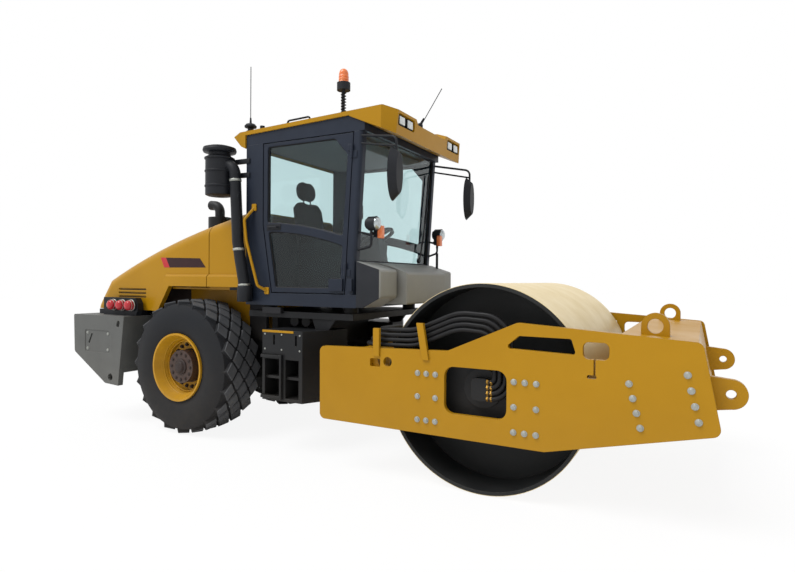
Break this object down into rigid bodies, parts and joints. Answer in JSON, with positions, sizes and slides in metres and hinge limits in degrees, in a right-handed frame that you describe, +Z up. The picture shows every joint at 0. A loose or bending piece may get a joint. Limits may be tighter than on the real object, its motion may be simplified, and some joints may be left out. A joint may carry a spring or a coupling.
{
  "type": "single drum road roller",
  "caption": "Articulated road roller with a smooth vibrating front drum in a plate frame, rear drive tyres, glazed cab and tilting engine hood.",
  "frame": {"origin": "on the ground below the steering pivot, midway along the machine", "axes": "+X forward towards the drum, +Y to the machine's left, +Z up"},
  "size_m": [6.7595, 2.332, 3.79],
  "materials": {
    "yellow_paint": "semi-gloss",
    "frame_black": "satin",
    "cab_dark": "satin",
    "weight_grey": "painted satin",
    "cover_grey": "satin",
    "drum_steel": "rolled",
    "bright_steel": "turned",
    "rod_chrome": "polished",
    "cast_dark": "painted",
    "tyre_rubber": "matt",
    "black_rubber": "matt",
    "black_plastic": "matt",
    "lamp_red": "gloss",
    "lamp_orange": "gloss",
    "clear_glass": "clear",
    "seat_fabric": "woven"
  },
  "bodies": {
    "rear": {"rear_frame": "frame_black", "articulation_pin": "bright_steel", "rear_axle": "cast_dark", "counterweight": "weight_grey", "engine_block": "cast_dark", "engine_cover": "yellow_paint", "inner_fenders": "yellow_paint", "tail_lamp_bases": "black_plastic", "tail_lamps": "lamp_red", "step_tanks": "frame_black", "platform": "frame_black", "cab_mounts": "black_rubber", "fender_bars": "yellow_paint", "cab_floor": "cab_dark", "cab_posts": "cab_dark", "cab_ceiling": "cab_dark", "roof": "yellow_paint", "cab_glass": "clear_glass", "cab_panels": "cab_dark", "front_covers": "cover_grey", "work_lamps": "black_plastic", "seat": "seat_fabric", "controls": "black_plastic", "mirrors": "black_plastic", "handrails": "yellow_paint", "air_cleaner": "black_plastic", "roof_fittings": "black_plastic", "beacon_lens": "lamp_orange"},
    "front": {"side_plate_right": "yellow_paint", "side_plate_left": "yellow_paint", "front_beam": "yellow_paint", "front_lugs": "yellow_paint", "cross_beam": "yellow_paint", "front_hitch": "frame_black", "drum_carriers": "frame_black", "rubber_buffers": "black_rubber", "drum_hoses": "black_rubber", "scrapers": "frame_black"},
    "drum_body": {"drum": "drum_steel"},
    "wheel_right": {"tyre_right": "tyre_rubber", "rim_right": "yellow_paint"},
    "wheel_left": {"tyre_left": "tyre_rubber", "rim_left": "yellow_paint"},
    "hood_body": {"hood": "yellow_paint", "exhaust": "frame_black"},
    "door_body_right": {"door_right": "cab_dark", "door_glass_right": "clear_glass"},
    "door_body_left": {"door_left": "cab_dark", "door_glass_left": "clear_glass"},
    "barrel_body_right": {"steer_barrel_right": "frame_black"},
    "barrel_body_left": {"steer_barrel_left": "frame_black"},
    "rod_body_right": {"steer_rod_right": "rod_chrome"},
    "rod_body_left": {"steer_rod_left": "rod_chrome"}
  },
  "joints": [
    {"name": "steer", "type": "hinge", "parent": "rear", "child": "front", "pos_m": [0, 0, 0.72], "axis": [0, 0, 1], "range_deg": [-35, 35]},
    {"name": "drum_spin", "type": "hinge", "parent": "front", "child": "drum_body", "pos_m": [1.65, 0, 0.8], "axis": [0, 1, 0], "continuous": true},
    {"name": "wheel_right_spin", "type": "hinge", "parent": "rear", "child": "wheel_right", "pos_m": [-1.65, -0.795, 0.7], "axis": [0, 1, 0], "continuous": true},
    {"name": "wheel_left_spin", "type": "hinge", "parent": "rear", "child": "wheel_left", "pos_m": [-1.65, 0.795, 0.7], "axis": [0, 1, 0], "continuous": true},
    {"name": "hood_tilt", "type": "hinge", "parent": "rear", "child": "hood_body", "pos_m": [-1.485, 0, 2.22], "axis": [0, 1, 0], "range_deg": [0, 50]},
    {"name": "door_right_swing", "type": "hinge", "parent": "rear", "child": "door_body_right", "pos_m": [0.281, -0.814, 2.2], "axis": [0.0599, 0, 0.9982], "range_deg": [0, 85]},
    {"name": "door_left_swing", "type": "hinge", "parent": "rear", "child": "door_body_left", "pos_m": [0.281, 0.814, 2.2], "axis": [-0.0599, 0, -0.9982], "range_deg": [0, 85]},
    {"name": "barrel_right_swing", "type": "hinge", "parent": "rear", "child": "barrel_body_right", "pos_m": [-0.62, -0.285, 0.72], "axis": [0, 0, 1], "range_deg": [-9, 9]},
    {"name": "barrel_left_swing", "type": "hinge", "parent": "rear", "child": "barrel_body_left", "pos_m": [-0.62, 0.285, 0.72], "axis": [0, 0, 1], "range_deg": [-9, 9]},
    {"name": "rod_right_slide", "type": "slide", "parent": "barrel_body_right", "child": "rod_body_right", "axis": [1, 0, 0], "range_m": [-0.19, 0.19]},
    {"name": "rod_left_slide", "type": "slide", "parent": "barrel_body_left", "child": "rod_body_left", "axis": [1, 0, 0], "range_m": [-0.19, 0.19]}
  ],
  "couplings": [
    {"joint": "barrel_right_swing", "follows": "steer", "ratio": 0.194},
    {"joint": "barrel_left_swing", "follows": "steer", "ratio": 0.194},
    {"joint": "rod_right_slide", "follows": "steer", "m_per_rad": 0.281},
    {"joint": "rod_left_slide", "follows": "steer", "m_per_rad": -0.281}
  ]
}
